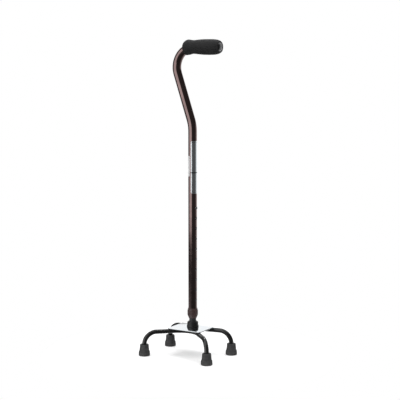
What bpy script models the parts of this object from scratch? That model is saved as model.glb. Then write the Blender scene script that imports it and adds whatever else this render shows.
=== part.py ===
"""A quad walking cane: an offset tube handle with a foam grip, a telescoping stem with a snap button and a
locking collar, and a low four-footed base.

Units are metres, with +Z up. The origin is on the floor, at the centre of the four feet. +X is the way the
grip points, and +Y is the side of the base that the shaft stands nearer to.
"""

import math

import bmesh
import bpy
from mathutils import Vector

MM = 0.001
GAP = 0.3 * MM                      # clearance between pieces that touch

# Shaft and its places above the floor
SHAFT_Y = 22.9 * MM
TUBE_RADIUS = 10.6 * MM
TUBE_WALL = 1.2 * MM
STEM_RADIUS = 8.6 * MM
STEM_WALL = 1.2 * MM
STEM_BOTTOM = 67.4 * MM
STEM_TOP = 377.7 * MM

# Height holes, and the button that sits in the highest one at the shortest setting
HOLE_PITCH = 25.4 * MM
HOLE_COUNT = 10
LOWEST_HOLE = 135.4 * MM
HOLE_RADIUS = 4.2 * MM
BUTTON_HEIGHT = LOWEST_HOLE + (HOLE_COUNT - 1) * HOLE_PITCH
BUTTON_RADIUS = 3.8 * MM

# Offset handle: the corners of its centre line, and the radii that round them
LEAN_START = 566.6 * MM
LEAN_ANGLE = math.radians(18.7)
LEAN_BEND = 90.0 * MM
GRIP_HEIGHT = 755.6 * MM
GRIP_BEND = 49.0 * MM
TUBE_END = 77.0 * MM
PLUG_FACE = 71.5 * MM
GRIP_START = -20.4 * MM
GRIP_END = 78.0 * MM

# Locking collar, with the parts inside it
COLLAR_BOTTOM = 89.3 * MM
COLLAR_TOP = COLLAR_BOTTOM + 21.2 * MM
COLLAR_RADIUS = 13.0 * MM
FLANGE_TOP = COLLAR_BOTTOM + 25.0 * MM
TUBE_BOTTOM = FLANGE_TOP + GAP

# Base
FOOT_X = 89.5 * MM
FOOT_Y = 59.5 * MM
FOOT_HEIGHT = 28.4 * MM
FOOT_RADIUS = 14.2 * MM
LEG_RADIUS = 5.6 * MM
LEG_WALL = 1.2 * MM
FOOT_BORE = LEG_RADIUS + 2 * GAP
LEG_HEIGHT = 58.3 * MM
LEG_FOOT_BEND = 31.0 * MM
LEG_BOTTOM = 9.0 * MM
PLATE_LOW = (-46.5 * MM, -21.0 * MM)
PLATE_HIGH = (46.5 * MM, 48.5 * MM)
PLATE_BOTTOM = LEG_HEIGHT + LEG_RADIUS + GAP
PLATE_THICKNESS = 2.5 * MM
PLATE_TOP = PLATE_BOTTOM + PLATE_THICKNESS
BOOT_TOP = 80.8 * MM
BOLT_RADIUS = 3.0 * MM

SHAFT_SIDES = 32
FOOT_SIDES = 24
LEG_SIDES = 16
SMALL_SIDES = 16


# ---------------------------------------------------------------- materials

def material(name, colour, roughness, metallic=0.0):
    made = bpy.data.materials.new(name)
    made.use_nodes = True
    shader = made.node_tree.nodes["Principled BSDF"]
    shader.inputs["Base Color"].default_value = (*colour, 1.0)
    shader.inputs["Roughness"].default_value = roughness
    shader.inputs["Metallic"].default_value = metallic
    return made


# ---------------------------------------------------------------- mesh tools

def ring(centre, across, up, radius, sides):
    """Points of a circle round centre, in the plane of the unit vectors across and up."""
    points = []
    for step in range(sides):
        angle = 2 * math.pi * step / sides
        points.append(centre + radius * (math.cos(angle) * across + math.sin(angle) * up))
    return points


def loft(name, rings, finish, closed=False, smooth_angle=35.0):
    """An object skinned over rings of points. A closed loft joins its last ring to its first, as a tube or
    a washer does; an open one gets a flat face at each end."""
    mesh = bmesh.new()
    loops = [[mesh.verts.new(point) for point in points] for points in rings]
    pairs = list(zip(loops, loops[1:]))
    if closed:
        pairs.append((loops[-1], loops[0]))
    for low, high in pairs:
        for index in range(len(low)):
            after = (index + 1) % len(low)
            mesh.faces.new((low[index], low[after], high[after], high[index]))
    if not closed:
        mesh.faces.new(loops[0])
        mesh.faces.new(loops[-1])
    bmesh.ops.recalc_face_normals(mesh, faces=mesh.faces)
    data = bpy.data.meshes.new(name)
    mesh.to_mesh(data)
    mesh.free()
    data.materials.append(finish)
    data.shade_smooth()
    data.set_sharp_from_angle(angle=math.radians(smooth_angle))
    made = bpy.data.objects.new(name, data)
    bpy.context.scene.collection.objects.link(made)
    return made


def turned(name, profile, finish, closed=False, sides=SHAFT_SIDES):
    """A round piece about its own Z axis. The profile is a list of (radius, height)."""
    rings = [
        ring(Vector((0, 0, height)), Vector((1, 0, 0)), Vector((0, 1, 0)), radius, sides)
        for radius, height in profile
    ]
    return loft(name, rings, finish, closed)


def arc(centre, radius, start, end, steps):
    """(x, y) points along an arc, with its angles in degrees, for profiles."""
    points = []
    for step in range(steps + 1):
        angle = math.radians(start + (end - start) * step / steps)
        points.append((centre[0] + radius * math.cos(angle), centre[1] + radius * math.sin(angle)))
    return points


def rounded_path(corners, bends, degrees_a_step, length_a_step=14 * MM):
    """The corners joined by straight runs, each inner corner rounded to the radius in bends."""
    path = [corners[0]]
    for before, corner, after, bend in zip(corners, corners[1:], corners[2:], bends):
        arriving = (corner - before).normalized()
        leaving = (after - corner).normalized()
        turn = arriving.angle(leaving)
        start = corner - arriving * bend * math.tan(turn / 2)
        inward = (leaving - arriving * arriving.dot(leaving)).normalized()
        steps = math.ceil(max(math.degrees(turn) / degrees_a_step, turn * bend / length_a_step))
        for step in range(steps + 1):
            angle = turn * step / steps
            along = arriving * math.sin(angle) + inward * (1 - math.cos(angle))
            path.append(start + bend * along)
    path.append(corners[-1])
    return path


def tube(name, path, radius, wall, finish, sides):
    """A hollow tube with open ends along a path. Its sections turn as little as they can."""
    tangents = []
    for index in range(len(path)):
        before = path[max(index - 1, 0)]
        after = path[min(index + 1, len(path) - 1)]
        tangents.append((after - before).normalized())
    across = tangents[0].orthogonal().normalized()
    outer, inner = [], []
    for centre, tangent in zip(path, tangents):
        across = (across - tangent * across.dot(tangent)).normalized()
        up = tangent.cross(across)
        outer.append(ring(centre, across, up, radius, sides))
        inner.append(ring(centre, across, up, radius - wall, sides))
    return loft(name, outer + inner[::-1], finish, closed=True)


def cut(target, cutter):
    """Takes the cutter's shape out of the target, and hides the cutter."""
    cutter.hide_render = True
    cutter.display_type = "WIRE"
    boolean = target.modifiers.new("cut", "BOOLEAN")
    boolean.operation = "DIFFERENCE"
    boolean.object = cutter


def joined_cutters(name, pieces):
    """One cutter made of several separate solids."""
    mesh = bmesh.new()
    for piece in pieces:
        mesh.from_mesh(piece.data)
        bpy.data.objects.remove(piece)
    data = bpy.data.meshes.new(name)
    mesh.to_mesh(data)
    mesh.free()
    made = bpy.data.objects.new(name, data)
    bpy.context.scene.collection.objects.link(made)
    return made


def cross_bar(name, reach, radius, height, finish, sides=SMALL_SIDES):
    """A round bar along X through the shaft's axis, for cutting holes."""
    ends = [Vector((x, 0, height)) for x in reach]
    rings = [ring(end, Vector((0, 1, 0)), Vector((0, 0, 1)), radius, sides) for end in ends]
    return loft(name, rings, finish)


def box(name, low, high, finish):
    corners = [(low[0], low[1]), (high[0], low[1]), (high[0], high[1]), (low[0], high[1])]
    rings = [[Vector((x, y, z)) for x, y in corners] for z in (low[2], high[2])]
    return loft(name, rings, finish)


def axis_empty(name, location):
    made = bpy.data.objects.new(name, None)
    made.location = location
    bpy.context.scene.collection.objects.link(made)
    return made


def hang(parent, *pieces):
    for piece in pieces:
        piece.parent = parent


# ---------------------------------------------------------------- handle

def upper_tube(finish):
    """The offset tube, open at both ends, with a row of height holes on each side."""
    rise = GRIP_HEIGHT - LEAN_START
    corners = [
        Vector((0, 0, TUBE_BOTTOM)),
        Vector((0, 0, LEAN_START)),
        Vector((-rise * math.tan(LEAN_ANGLE), 0, GRIP_HEIGHT)),
        Vector((TUBE_END, 0, GRIP_HEIGHT)),
    ]
    path = rounded_path(corners, (LEAN_BEND, GRIP_BEND), 8)
    made = tube("upper_tube", path, TUBE_RADIUS, TUBE_WALL, finish, SHAFT_SIDES)
    reach = (-2 * TUBE_RADIUS, 2 * TUBE_RADIUS)
    bars = []
    for number in range(HOLE_COUNT):
        height = LOWEST_HOLE + number * HOLE_PITCH
        bars.append(cross_bar(f"hole_bar_{number}", reach, HOLE_RADIUS, height, finish))
    holes = joined_cutters("height_hole_cutter", bars)
    cut(made, holes)
    return made, holes


def hand_grip(finish):
    """The foam grip. Its outside is straight and swelling, and its bore follows the tube's bend."""
    across = Vector((0, 1, 0))
    bore = TUBE_RADIUS + 2 * GAP
    bend_x = (GRIP_HEIGHT - LEAN_START) * -math.tan(LEAN_ANGLE)
    bend_x += GRIP_BEND * math.tan((math.pi / 2 + LEAN_ANGLE) / 2)
    lean_share = 0.35
    fall_share = 0.75

    def station(x):
        """How far the tube's centre line lies under the grip's height at x, its slope there, and the grip's
        upward direction, which leans a little with it."""
        slope = math.asin(max(0.0, bend_x - x) / GRIP_BEND)
        lean = lean_share * slope
        return GRIP_BEND * (1 - math.cos(slope)), slope, Vector((-math.sin(lean), 0, math.cos(lean)))

    outline = [
        (-20.4, 14.4), (-20.0, 15.5), (-18.5, 16.7), (-15.4, 17.9), (-11.4, 18.7), (-7.2, 18.4),
        (-3.0, 17.5), (2.0, 16.8), (8.0, 16.9), (17.0, 17.8), (30.0, 18.7), (44.0, 18.95),
        (57.0, 18.8), (64.0, 18.4), (69.0, 17.6), (73.0, 16.5), (76.0, 15.1), (77.4, 14.1), (78.0, 13.0),
    ]
    most_fall = station(GRIP_START)[0]
    rings = []
    for x_mm, radius_mm in outline:
        fall, _, up = station(x_mm * MM)
        centre = Vector((x_mm * MM, 0, GRIP_HEIGHT - fall_share * fall**2 / most_fall))
        rings.append(ring(centre, across, up, radius_mm * MM, SHAFT_SIDES))
    bend_steps = 6
    bend_places = [GRIP_START * number / bend_steps for number in range(bend_steps + 1)]
    for x in [GRIP_END] + bend_places:
        fall, slope, up = station(x)
        centre = Vector((x, 0, GRIP_HEIGHT - fall))
        reach = 1 / math.cos((1 - lean_share) * slope)
        rings.append(ring(centre, across, up * reach, bore, SHAFT_SIDES))
    return loft("hand_grip", rings, finish, closed=True)


def grip_end_plug(finish):
    """The plug pressed into the tube's end, a little way in."""
    radius = TUBE_RADIUS - TUBE_WALL - GAP
    back = PLUG_FACE - 13.0 * MM
    profile = [
        (radius - 1.0 * MM, back),
        (radius, back + 1.5 * MM),
        (radius, PLUG_FACE - 0.6 * MM),
        (radius - 0.6 * MM, PLUG_FACE),
        (radius - 2.6 * MM, PLUG_FACE),
        (radius - 3.6 * MM, PLUG_FACE - 1.2 * MM),
    ]
    made = turned("grip_end_plug", profile, finish)
    made.rotation_euler = (0, math.pi / 2, 0)
    made.location = (0, 0, GRIP_HEIGHT)
    return made


def label(name, middle, half_angle, low, high, finish):
    """A thin sticker wrapped round the tube, centred on the side at the angle middle."""
    steps = round(2 * half_angle / 10)
    inner = TUBE_RADIUS + 0.15 * MM
    outer = inner + 0.25 * MM
    rings = []
    for step in range(steps + 1):
        angle = math.radians(middle - half_angle + 2 * half_angle * step / steps)
        out = Vector((math.cos(angle), math.sin(angle), 0))
        section = []
        for radius, height in ((inner, low), (outer, low), (outer, high), (inner, high)):
            section.append(out * radius + Vector((0, 0, height)))
        rings.append(section)
    return loft(name, rings, finish)


def collet_insert(finish):
    """The insert in the tube's lower end: a sleeve, a flange and a slit shank that the collar screws on."""
    bore = STEM_RADIUS + GAP
    shank_bottom = COLLAR_BOTTOM + 9.0 * MM
    flange_bottom = FLANGE_TOP - 3.5 * MM
    sleeve_top = FLANGE_TOP + 13.0 * MM
    profile = [
        (bore, shank_bottom),
        (10.0 * MM, shank_bottom),
        (10.4 * MM, shank_bottom + 1.0 * MM),
        (10.4 * MM, flange_bottom),
        (11.9 * MM, flange_bottom),
        (11.9 * MM, FLANGE_TOP),
        (9.25 * MM, FLANGE_TOP),
        (9.25 * MM, sleeve_top),
        (bore, sleeve_top),
    ]
    made = turned("collet_insert", profile, finish, closed=True)
    reach = 2 * TUBE_RADIUS
    half = 0.7 * MM
    floor = COLLAR_BOTTOM + 4.0 * MM
    top = floor + 13.0 * MM
    slots = box("collet_slot_cutter", (-reach, -half, floor), (reach, half, top), finish)
    cut(made, slots)
    return made, slots


def locking_collar(finish):
    """The nut round the insert's shank. It squeezes the clamp ring on the stem."""
    outside = [(9.4, 0.0), (9.9, 0.6), (11.4, 4.0), (12.6, 7.2)]
    inside = [
        (10.7, 21.2), (10.7, 8.0), (10.3, 4.6), (9.0, 4.6), (9.0, 3.9), (9.9, 3.9), (9.9, 1.4), (9.0, 1.4),
        (9.0, 0.0),
    ]
    profile = [(radius * MM, COLLAR_BOTTOM + height * MM) for radius, height in outside]
    profile += [
        (COLLAR_RADIUS, COLLAR_BOTTOM + 8.6 * MM),
        (COLLAR_RADIUS, COLLAR_TOP - 1.6 * MM),
        (COLLAR_RADIUS - 0.5 * MM, COLLAR_TOP),
    ]
    profile += [(radius * MM, COLLAR_BOTTOM + height * MM) for radius, height in inside]
    return turned("locking_collar", profile, finish, closed=True)


def wiper_ring(finish):
    """The rubber ring in the collar's groove, which stops the stem from rattling."""
    section = arc((9.25 * MM, COLLAR_BOTTOM + 2.65 * MM), 0.42 * MM, 0, 360, 6)[:-1]
    return turned("wiper_ring", section, finish, closed=True)


def clamp_ring(finish):
    """The split ring that the collar closes on the stem, open at its slit."""
    inner = STEM_RADIUS + GAP
    low = COLLAR_BOTTOM + 5.0 * MM
    high = low + 3.6 * MM
    slit = 9.0
    steps = 20
    rings = []
    for step in range(steps + 1):
        angle = math.radians(slit + (360 - 2 * slit) * step / steps)
        out = Vector((math.cos(angle), math.sin(angle), 0))
        section = []
        for radius, height in ((inner, low), (9.7 * MM, low), (10.1 * MM, high), (inner, high)):
            section.append(out * radius + Vector((0, 0, height)))
        rings.append(section)
    return loft("clamp_ring", rings, finish)


# ---------------------------------------------------------------- stem and its button

def lower_tube(finish):
    """The stem that slides in the upper tube, with the button's hole near its top."""
    bore = STEM_RADIUS - STEM_WALL
    profile = [
        (STEM_RADIUS, STEM_BOTTOM), (STEM_RADIUS, STEM_TOP), (bore, STEM_TOP), (bore, STEM_BOTTOM),
    ]
    made = turned("lower_tube", profile, finish, closed=True)
    made.location.y = SHAFT_Y
    bar = cross_bar("button_hole_cutter", (0.0, 2 * STEM_RADIUS), HOLE_RADIUS, BUTTON_HEIGHT, finish)
    bar.location.y = SHAFT_Y
    cut(made, bar)
    return made


def glide_bushing(finish):
    """The sleeve on the stem's top end, which guides it in the upper tube."""
    inner = STEM_RADIUS + 0.12 * MM
    outer = 9.2 * MM
    low = STEM_TOP - 7.0 * MM
    top = STEM_TOP + 2.0 * MM
    mouth = STEM_RADIUS - STEM_WALL
    profile = [
        (inner, low), (outer, low), (outer, top),
        (mouth, top), (mouth, STEM_TOP + GAP), (inner, STEM_TOP + GAP),
    ]
    made = turned("glide_bushing", profile, finish, closed=True)
    made.location.y = SHAFT_Y
    return made


def snap_button(finish):
    """The domed button, which stands out through both tubes. Its origin is on its line of travel."""
    head = arc((10.6 * MM, 0), BUTTON_RADIUS, 90, 15, 4)
    profile = [(4.8 * MM, 4.0 * MM), (4.8 * MM, 5.1 * MM), (BUTTON_RADIUS, 5.1 * MM)]
    profile += [(y, 10.6 * MM + (x - 10.6 * MM) * 0.55) for x, y in head]
    made = turned("snap_button", profile, finish, sides=SMALL_SIDES)
    made.rotation_euler = (0, math.pi / 2, 0)
    made.location = (0, SHAFT_Y, BUTTON_HEIGHT)
    return made


def button_spring(finish):
    """The V-shaped leaf behind the button, standing in the stem."""
    half_width = 3.2 * MM
    thickness = 0.6 * MM
    line = [(3.1 * MM, 6.0 * MM), (3.1 * MM, -6.0 * MM), (1.2 * MM, -30.0 * MM)]
    line += arc((-1.6 * MM, -31.0 * MM), 2.8 * MM, 0, -180, 6)
    line += [(-6.2 * MM, -8.0 * MM), (-6.0 * MM, 8.0 * MM)]
    rings = []
    for index, (x, z) in enumerate(line):
        before = line[max(index - 1, 0)]
        after = line[min(index + 1, len(line) - 1)]
        run = Vector((after[0] - before[0], after[1] - before[1])).normalized()
        side = Vector((run.y, 0, -run.x)) * thickness / 2
        middle = Vector((x, 0, z))
        width = Vector((0, half_width, 0))
        rings.append([middle - side - width, middle + side - width, middle + side + width,
                      middle - side + width])
    made = loft("button_spring", rings, finish)
    made.location = (0, SHAFT_Y, BUTTON_HEIGHT)
    return made


# ---------------------------------------------------------------- base

def stem_boot(finish):
    """The cone that covers the foot of the stem, on the plate."""
    bore = STEM_RADIUS + GAP
    profile = [
        (bore, PLATE_TOP + GAP),
        (14.8 * MM, PLATE_TOP + GAP),
        (14.8 * MM, PLATE_TOP + 2.5 * MM),
        (13.2 * MM, BOOT_TOP - 1.4 * MM),
        (12.2 * MM, BOOT_TOP),
        (bore, BOOT_TOP),
    ]
    made = turned("stem_boot", profile, finish, closed=True)
    made.location.y = SHAFT_Y
    return made


def stem_plug(finish):
    """The threaded plug in the stem's lower end, which the bolt screws into."""
    outer = STEM_RADIUS - STEM_WALL - GAP
    bore = BOLT_RADIUS + GAP
    top = STEM_BOTTOM + 19.0 * MM
    profile = [(bore, STEM_BOTTOM), (outer, STEM_BOTTOM), (outer, top), (bore, top)]
    made = turned("stem_plug", profile, finish, closed=True)
    made.location.y = SHAFT_Y
    return made


def base_plate(finish):
    """The flat plate over the legs, with rounded corners and the bolt's hole."""
    corner = 5.0 * MM
    centres = [
        (PLATE_HIGH[0] - corner, PLATE_HIGH[1] - corner, 0),
        (PLATE_LOW[0] + corner, PLATE_HIGH[1] - corner, 90),
        (PLATE_LOW[0] + corner, PLATE_LOW[1] + corner, 180),
        (PLATE_HIGH[0] - corner, PLATE_LOW[1] + corner, 270),
    ]

    def outline(radius, height):
        points = []
        for x, y, start in centres:
            points += [Vector((px, py, height)) for px, py in arc((x, y), radius, start, start + 90, 4)]
        return points

    edge = 0.6 * MM
    rings = [
        outline(corner - edge, PLATE_BOTTOM),
        outline(corner, PLATE_BOTTOM + edge),
        outline(corner, PLATE_TOP - edge),
        outline(corner - edge, PLATE_TOP),
    ]
    made = loft("base_plate", rings, finish)
    ends = [Vector((0, SHAFT_Y, height)) for height in (PLATE_BOTTOM - edge, PLATE_TOP + edge)]
    circles = [
        ring(end, Vector((1, 0, 0)), Vector((0, 1, 0)), BOLT_RADIUS + GAP, SMALL_SIDES) for end in ends
    ]
    cut(made, loft("bolt_hole_cutter", circles, finish))
    return made


def leg_tube(name, side, apex_y, apex_bend, finish):
    """One bent tube that makes two legs: side is -1 for the pair at -Y and +1 for the pair at +Y."""
    foot_y = side * FOOT_Y
    corners = [
        Vector((-FOOT_X, foot_y, LEG_BOTTOM)),
        Vector((-FOOT_X, foot_y, LEG_HEIGHT)),
        Vector((0, apex_y, LEG_HEIGHT)),
        Vector((FOOT_X, foot_y, LEG_HEIGHT)),
        Vector((FOOT_X, foot_y, LEG_BOTTOM)),
    ]
    path = rounded_path(corners, (LEG_FOOT_BEND, apex_bend, LEG_FOOT_BEND), 10)
    return tube(name, path, LEG_RADIUS, LEG_WALL, finish, LEG_SIDES)


def rubber_foot(name, x, y, finish):
    """A ferrule with a blind bore for the leg and a wider tread."""
    profile = [
        (12.9 * MM, 0.0),
        (13.8 * MM, 0.7 * MM),
        (FOOT_RADIUS, 2.2 * MM),
        (13.7 * MM, 10.6 * MM),
        (13.1 * MM, 12.0 * MM),
        (12.2 * MM, 12.6 * MM),
        (11.3 * MM, 20.5 * MM),
        (10.8 * MM, FOOT_HEIGHT - 0.7 * MM),
        (10.1 * MM, FOOT_HEIGHT),
        (FOOT_BORE, FOOT_HEIGHT),
        (FOOT_BORE, 7.0 * MM),
    ]
    made = turned(name, profile, finish, sides=FOOT_SIDES)
    made.location = (x, y, 0)
    return made


def foot_disc(name, x, y, finish):
    """The steel washer in the foot's bore, which keeps the leg from cutting through the rubber."""
    bore = 2.0 * MM
    outer = FOOT_BORE - GAP
    low = 7.3 * MM
    high = LEG_BOTTOM - GAP
    profile = [(bore, low), (outer, low), (outer, high), (bore, high)]
    made = turned(name, profile, finish, closed=True, sides=SMALL_SIDES)
    made.location = (x, y, 0)
    return made


def centre_bolt(finish):
    """The hexagon bolt that holds the stem to the plate from below."""
    head_top = PLATE_BOTTOM - 2.4 * MM
    head_bottom = head_top - 4.0 * MM
    shank_top = STEM_BOTTOM + 17.0 * MM
    up = (Vector((1, 0, 0)), Vector((0, 1, 0)))
    sides = 12

    def hexagon(height):
        points = ring(Vector((0, 0, height)), *up, 5.5 * MM, sides)
        flat = math.cos(math.pi / 6)
        return [
            Vector((p.x * flat, p.y * flat, p.z)) if index % 2 else p for index, p in enumerate(points)
        ]

    rings = [
        hexagon(head_bottom),
        hexagon(head_top),
        ring(Vector((0, 0, head_top)), *up, BOLT_RADIUS, sides),
        ring(Vector((0, 0, shank_top - 0.8 * MM)), *up, BOLT_RADIUS, sides),
        ring(Vector((0, 0, shank_top)), *up, BOLT_RADIUS - 0.8 * MM, sides),
    ]
    made = loft("centre_bolt", rings, finish)
    made.location.y = SHAFT_Y
    return made


def lock_washer(finish):
    bore = BOLT_RADIUS + GAP
    low = PLATE_BOTTOM - 2.1 * MM
    high = PLATE_BOTTOM - GAP
    profile = [(bore, low), (5.5 * MM, low), (5.5 * MM, high), (bore, high)]
    made = turned("lock_washer", profile, finish, closed=True, sides=SMALL_SIDES)
    made.location.y = SHAFT_Y
    return made


# ---------------------------------------------------------------- assembly

def build_handle(paint, foam, plastic, foil, paper):
    handle = axis_empty("handle_axis", (0, SHAFT_Y, 0))
    shaft, holes = upper_tube(paint)
    insert, slots = collet_insert(plastic)
    front = label("front_label", 0, 82, 400.0 * MM, 528.7 * MM, foil)
    rear = label("rear_label", 180, 80, 441.6 * MM, 492.3 * MM, paper)
    plug = grip_end_plug(material("plug_plastic", (0.03, 0.03, 0.032), 0.3))
    hang(handle, shaft, holes, insert, slots, front, rear, plug, hand_grip(foam))


def build_collar(plastic, rubber):
    collar = axis_empty("collar_axis", (0, SHAFT_Y, 0))
    hang(collar, locking_collar(plastic), wiper_ring(rubber))
    clamp = axis_empty("height_axis", (0, SHAFT_Y, 0))
    hang(clamp, clamp_ring(material("clamp_nylon", (0.75, 0.74, 0.7), 0.5)))


def build_stem(steel):
    lower_tube(material("stem_paint", (0.035, 0.036, 0.038), 0.35, 0.3))
    glide_bushing(material("bushing_nylon", (0.7, 0.7, 0.68), 0.5))
    snap_button(steel)
    button_spring(material("spring_steel", (0.45, 0.45, 0.46), 0.35, 1.0))


def build_base(rubber, steel):
    black = material("leg_enamel", (0.012, 0.012, 0.012), 0.22)
    stem_boot(material("boot_plastic", (0.02, 0.02, 0.022), 0.4))
    stem_plug(steel)
    base_plate(material("plate_chrome", (0.9, 0.92, 0.94), 0.08, 1.0))
    leg_tube("leg_tube_front", -1, 24.4 * MM, 46.0 * MM, black)
    leg_tube("leg_tube_rear", 1, 43.0 * MM, 190.0 * MM, black)
    places = {"front_left": (-1, -1), "front_right": (1, -1), "rear_left": (-1, 1), "rear_right": (1, 1)}
    for place, (side_x, side_y) in places.items():
        rubber_foot(f"rubber_foot_{place}", side_x * FOOT_X, side_y * FOOT_Y, rubber)
        foot_disc(f"foot_disc_{place}", side_x * FOOT_X, side_y * FOOT_Y, steel)
    centre_bolt(steel)
    lock_washer(steel)


def main():
    for leftover in list(bpy.data.objects):
        bpy.data.objects.remove(leftover)
    rubber = material("rubber", (0.06, 0.06, 0.063), 0.7)
    steel = material("zinc_steel", (0.6, 0.6, 0.62), 0.3, 1.0)
    brown_plastic = material("collar_plastic", (0.085, 0.05, 0.045), 0.35)
    build_handle(
        material("bronze_paint", (0.05, 0.035, 0.035), 0.2, 0.4),
        material("grip_foam", (0.022, 0.022, 0.024), 0.85),
        brown_plastic,
        material("label_foil", (0.82, 0.84, 0.86), 0.2, 1.0),
        material("label_paper", (0.85, 0.85, 0.85), 0.5),
    )
    build_collar(brown_plastic, rubber)
    build_stem(steel)
    build_base(rubber, steel)


main()
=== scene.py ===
"""The looks of a quad walking cane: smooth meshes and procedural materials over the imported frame.

Units are metres, in the frame's own axes: +Z up, +X the way the grip points. The shaft stands at SHAFT_Y.
"""

import math

import bmesh
import bpy
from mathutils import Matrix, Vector, noise


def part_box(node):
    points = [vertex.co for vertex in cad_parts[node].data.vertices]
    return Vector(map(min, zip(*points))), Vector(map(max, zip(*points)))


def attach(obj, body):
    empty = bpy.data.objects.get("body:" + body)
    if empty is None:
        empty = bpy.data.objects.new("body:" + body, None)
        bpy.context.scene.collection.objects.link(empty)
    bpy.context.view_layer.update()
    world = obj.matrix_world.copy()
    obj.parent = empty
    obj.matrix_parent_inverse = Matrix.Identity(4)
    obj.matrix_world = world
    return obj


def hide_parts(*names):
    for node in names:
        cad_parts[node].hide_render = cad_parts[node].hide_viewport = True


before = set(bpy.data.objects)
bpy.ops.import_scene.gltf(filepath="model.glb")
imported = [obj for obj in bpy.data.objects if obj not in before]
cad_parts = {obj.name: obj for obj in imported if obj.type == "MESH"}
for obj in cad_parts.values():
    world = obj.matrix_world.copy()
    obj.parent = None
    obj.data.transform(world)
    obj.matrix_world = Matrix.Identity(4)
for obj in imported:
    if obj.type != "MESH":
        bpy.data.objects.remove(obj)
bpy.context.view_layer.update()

MM = 0.001
X = Vector((1, 0, 0))
Y = Vector((0, 1, 0))
Z = Vector((0, 0, 1))


def middle(node):
    """The middle of a CAD node's box."""
    low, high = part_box(node)
    return (Vector(low) + Vector(high)) / 2


def size_y(node):
    """A CAD node's width along Y."""
    low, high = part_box(node)
    return high[1] - low[1]


def low_z(node):
    """A CAD node's lowest height."""
    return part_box(node)[0][2]


def high_z(node):
    """A CAD node's greatest height."""
    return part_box(node)[1][2]


# The shaft: the upper tube and the stem that slides in it
SHAFT_Y = middle("lower_tube").y
SHAFT = Vector((0, SHAFT_Y, 0))
TUBE_RADIUS = size_y("upper_tube") / 2
TUBE_WALL = 1.2 * MM
TUBE_BOTTOM = low_z("upper_tube")
TUBE_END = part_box("upper_tube")[1][0]
STEM_RADIUS = size_y("lower_tube") / 2
STEM_WALL = 1.2 * MM
GRIP_HEIGHT = middle("grip_end_plug").z

# The bent handle's centre line: the height where it leans back, how far it leans, and its two bends' radii
LEAN_START = 566.6 * MM
LEAN_ANGLE = math.radians(18.7)
LEAN_BEND = 90.0 * MM
GRIP_BEND = 49.0 * MM

# The height holes, counted down from the one that the button sits in
HOLE_PITCH = 25.4 * MM
HOLE_COUNT = 10
HOLE_RADIUS = 4.2 * MM
BUTTON = middle("snap_button")

# The room between the stem and the pieces round it, and the radii of the labels' two faces
STEM_CLEARANCE = 0.3 * MM
LABEL_INSIDE = TUBE_RADIUS + 0.12 * MM
LABEL_OUTSIDE = TUBE_RADIUS + 0.3 * MM

# The legs and feet, and each foot's side of the middle in x and y
LEG_RADIUS = 5.6 * MM
LEG_WALL = 1.2 * MM
LEG_HEIGHT = high_z("leg_tube_front") - LEG_RADIUS
LEG_BOTTOM = low_z("leg_tube_front")
LEG_FOOT_BEND = 31.0 * MM
FOOT = middle("rubber_foot_rear_right")
PLACES = {"front_left": (-1, -1), "front_right": (1, -1), "rear_left": (-1, 1), "rear_right": (1, 1)}


# ---------------------------------------------------------------- node helpers

class Nodes:
    """A node tree that is built node by node. A node's input is given a value or another node's output."""

    def __init__(self, tree):
        self.tree = tree

    def feed(self, socket, value):
        """Links an output to the socket, or sets a value on it."""
        if isinstance(value, bpy.types.NodeSocket):
            self.tree.links.new(value, socket)
        else:
            socket.default_value = value

    def add(self, kind, inputs=None, **settings):
        """A new node with these settings and inputs. An input's key is its name or its number."""
        node = self.tree.nodes.new(kind)
        for setting, value in settings.items():
            setattr(node, setting, value)
        for socket, value in (inputs or {}).items():
            self.feed(node.inputs[socket], value)
        return node

    def math(self, operation, first, second=0.0):
        """The result of one operation on one or two numbers."""
        return self.add("ShaderNodeMath", {0: first, 1: second}, operation=operation).outputs["Value"]

    def remap(self, value, low, high, to_low, to_high):
        """A number that goes smoothly from to_low to to_high as the value goes from low to high."""
        inputs = {"Value": value, "From Min": low, "From Max": high, "To Min": to_low, "To Max": to_high}
        return self.add("ShaderNodeMapRange", inputs, interpolation_type="SMOOTHSTEP").outputs["Result"]

    def mix(self, factor, first, second):
        """The first colour where the factor is 0, and the second where it is 1."""
        node = self.add("ShaderNodeMix", {"Factor": factor}, data_type="RGBA")
        colours = [socket for socket in node.inputs if socket.type == "RGBA"]
        for socket, value in zip(colours, (first, second)):
            self.feed(socket, value if isinstance(value, bpy.types.NodeSocket) else (*value, 1.0))
        return [socket for socket in node.outputs if socket.type == "RGBA"][0]

    def show(self, shader):
        """Makes this shader the material's surface."""
        self.feed(self.tree.nodes["Material Output"].inputs["Surface"], shader)


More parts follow.
